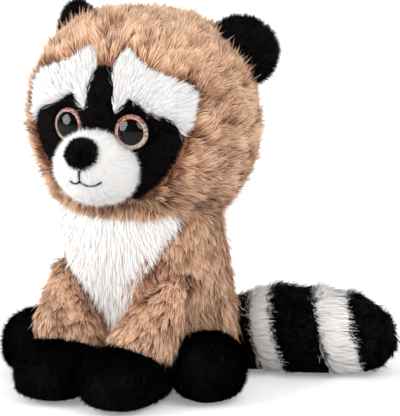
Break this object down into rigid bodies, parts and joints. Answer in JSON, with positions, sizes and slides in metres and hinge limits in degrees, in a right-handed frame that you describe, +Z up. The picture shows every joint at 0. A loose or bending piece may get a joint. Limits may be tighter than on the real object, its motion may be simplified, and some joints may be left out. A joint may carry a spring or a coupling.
{
  "type": "plush raccoon",
  "caption": "Sitting plush raccoon with a wide round head, black mask, white brows and muzzle, glitter eyes, black paws and a fat banded tail lying to its left side.",
  "frame": {"origin": "centre of the toy's box on the surface it sits on", "axes": "+Z up, the face looks along -Y, the toy's own left side and its tail are at +X"},
  "size_m": [0.1714, 0.1568, 0.1855],
  "materials": {
    "brown_pile": "medium long tan pile with dark brown roots and streaks",
    "white_pile": "soft white pile",
    "black_pile": "short dense black pile",
    "mouth_thread": "black embroidery thread",
    "eye_clear": "clear polished plastic",
    "eye_black": "polished black plastic",
    "eye_glitter": "pink and gold glitter under clear plastic",
    "washer_plastic": "plain moulded plastic"
  },
  "bodies": {
    "root": {"head": "brown_pile", "face_mask": "black_pile", "brow_left": "white_pile", "brow_right": "white_pile", "muzzle": "white_pile", "nose": "black_pile", "mouth_stitching": "mouth_thread", "ear_left": "black_pile", "ear_right": "black_pile", "torso": "brown_pile", "chest_panel": "white_pile", "front_leg_left": "brown_pile", "front_leg_right": "brown_pile", "front_paw_left": "black_pile", "front_paw_right": "black_pile", "hind_foot_left": "black_pile", "hind_foot_right": "black_pile", "tail_band_1": "black_pile", "tail_band_2": "white_pile", "tail_band_3": "black_pile", "tail_band_4": "white_pile", "tail_band_5": "black_pile", "eye_left_dome": "eye_clear", "eye_left_pupil": "eye_black", "eye_left_ring": "eye_glitter", "eye_left_washer": "washer_plastic", "eye_right_dome": "eye_clear", "eye_right_pupil": "eye_black", "eye_right_ring": "eye_glitter", "eye_right_washer": "washer_plastic"}
  },
  "joints": []
}
